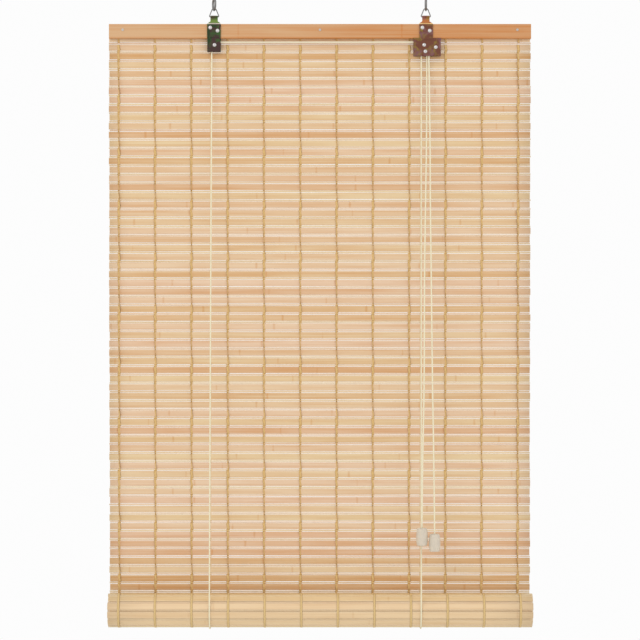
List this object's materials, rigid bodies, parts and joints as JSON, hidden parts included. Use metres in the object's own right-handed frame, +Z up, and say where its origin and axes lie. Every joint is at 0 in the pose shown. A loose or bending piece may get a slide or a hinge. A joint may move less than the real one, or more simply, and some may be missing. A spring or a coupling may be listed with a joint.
{
  "type": "bamboo roll up blind",
  "caption": "Bamboo slat window blind on two ceiling hooks, its lower end rolled up in cord slings, with a cord lock and two bell-shaped pulls.",
  "frame": {"origin": "in the ceiling plane, midway between the two hooks' shanks", "axes": "+Z up into the ceiling, +X along the width to the right seen from the room, the room towards -Y"},
  "size_m": [0.802, 0.0985, 1.2286],
  "materials": {
    "bamboo_batten": "satin",
    "bamboo_slat": "satin",
    "bamboo_stick": "satin",
    "warp_thread": "matte",
    "cord": "matte",
    "plain_steel": "satin",
    "green_steel": "gloss",
    "plum_steel": "gloss",
    "bright_rivet": "polished",
    "pulley_plastic": "satin",
    "cam_steel": "satin",
    "knob_plastic": "satin"
  },
  "bodies": {
    "hooks": {"left_hook": "plain_steel", "right_hook": "plain_steel"},
    "left_ring": {"left_ring": "plain_steel"},
    "right_ring": {"right_ring": "plain_steel"},
    "head_rail": {"head_batten_front": "bamboo_batten", "head_batten_rear": "bamboo_batten", "head_rail_nails": "plain_steel", "left_strap": "green_steel", "right_strap": "plum_steel", "strap_rivets": "bright_rivet", "left_pulley_housing": "green_steel", "lock_housing": "plum_steel", "left_pulley_axle": "bright_rivet", "lock_pulley_axle": "bright_rivet", "lock_guide_pin": "bright_rivet", "lock_cam_axle": "bright_rivet", "wide_slats": "bamboo_slat", "round_sticks": "bamboo_stick", "warp_threads": "warp_thread", "left_front_cord": "cord", "right_front_cord": "cord", "left_back_cord": "cord", "right_back_cord": "cord", "cord_anchor_knots": "cord", "crossing_cord": "cord", "right_lock_cord": "cord"},
    "roll_cradle": {"left_sling": "cord", "right_sling": "cord"},
    "roll": {"rolled_mat": "bamboo_slat", "bottom_batten_upper": "bamboo_batten", "bottom_batten_lower": "bamboo_batten", "bottom_batten_nails": "plain_steel"},
    "left_pulley": {"left_pulley": "pulley_plastic"},
    "lock_pulley": {"lock_pulley": "pulley_plastic"},
    "lock_cam": {"lock_cam": "cam_steel"},
    "pull_1": {"pull_cord_1": "cord", "knob_1": "knob_plastic", "knot_1": "cord"},
    "pull_2": {"pull_cord_2": "cord", "knob_2": "knob_plastic", "knot_2": "cord"}
  },
  "joints": [
    {"name": "left_ring_swing", "type": "hinge", "parent": "hooks", "child": "left_ring", "pos_m": [-0.201, 0, -0.0315], "axis": [1, 0, 0], "range_deg": [-20, 20]},
    {"name": "right_ring_swing", "type": "hinge", "parent": "hooks", "child": "right_ring", "pos_m": [0.201, 0, -0.0315], "axis": [1, 0, 0], "range_deg": [-20, 20]},
    {"name": "blind_swing", "type": "hinge", "parent": "left_ring", "child": "head_rail", "pos_m": [-0.201, 0, -0.0475], "axis": [1, 0, 0], "range_deg": [-20, 20]},
    {"name": "roll_lift", "type": "slide", "parent": "head_rail", "child": "roll_cradle", "axis": [0, 0.0367, 0.9993], "range_m": [0, 0.981], "deforming": ["wide_slats", "round_sticks", "warp_threads", "left_front_cord", "right_front_cord", "left_back_cord", "right_back_cord"]},
    {"name": "roll_spin", "type": "hinge", "parent": "roll_cradle", "child": "roll", "pos_m": [0, -0.0105, -1.17227], "axis": [1, 0, 0], "range_deg": [-1441, 0]},
    {"name": "left_pulley_spin", "type": "hinge", "parent": "head_rail", "child": "left_pulley", "pos_m": [-0.1999, -0.00745, -0.1016], "axis": [0, 1, 0], "continuous": true},
    {"name": "lock_pulley_spin", "type": "hinge", "parent": "head_rail", "child": "lock_pulley", "pos_m": [0.1974, -0.00745, -0.1016], "axis": [0, 1, 0], "continuous": true},
    {"name": "lock_cam_pivot", "type": "hinge", "parent": "head_rail", "child": "lock_cam", "pos_m": [0.2194, -0.00745, -0.106], "axis": [0, -1, 0], "range_deg": [0, 35]},
    {"name": "pull_1_slide", "type": "slide", "parent": "head_rail", "child": "pull_1", "axis": [0, 0, -1], "range_m": [0, 1.962], "deforming": ["pull_cord_1"]},
    {"name": "pull_2_slide", "type": "slide", "parent": "head_rail", "child": "pull_2", "axis": [0, 0, -1], "range_m": [0, 1.962], "deforming": ["pull_cord_2"]}
  ],
  "couplings": [
    {"joint": "right_ring_swing", "follows": "left_ring_swing", "ratio": 1},
    {"joint": "roll_spin", "follows": "roll_lift", "rad_per_m": -25.62},
    {"joint": "left_pulley_spin", "follows": "roll_lift", "rad_per_m": 377.36},
    {"joint": "lock_pulley_spin", "follows": "roll_lift", "rad_per_m": 377.36},
    {"joint": "pull_1_slide", "follows": "roll_lift", "ratio": 2},
    {"joint": "pull_2_slide", "follows": "roll_lift", "ratio": 2}
  ]
}
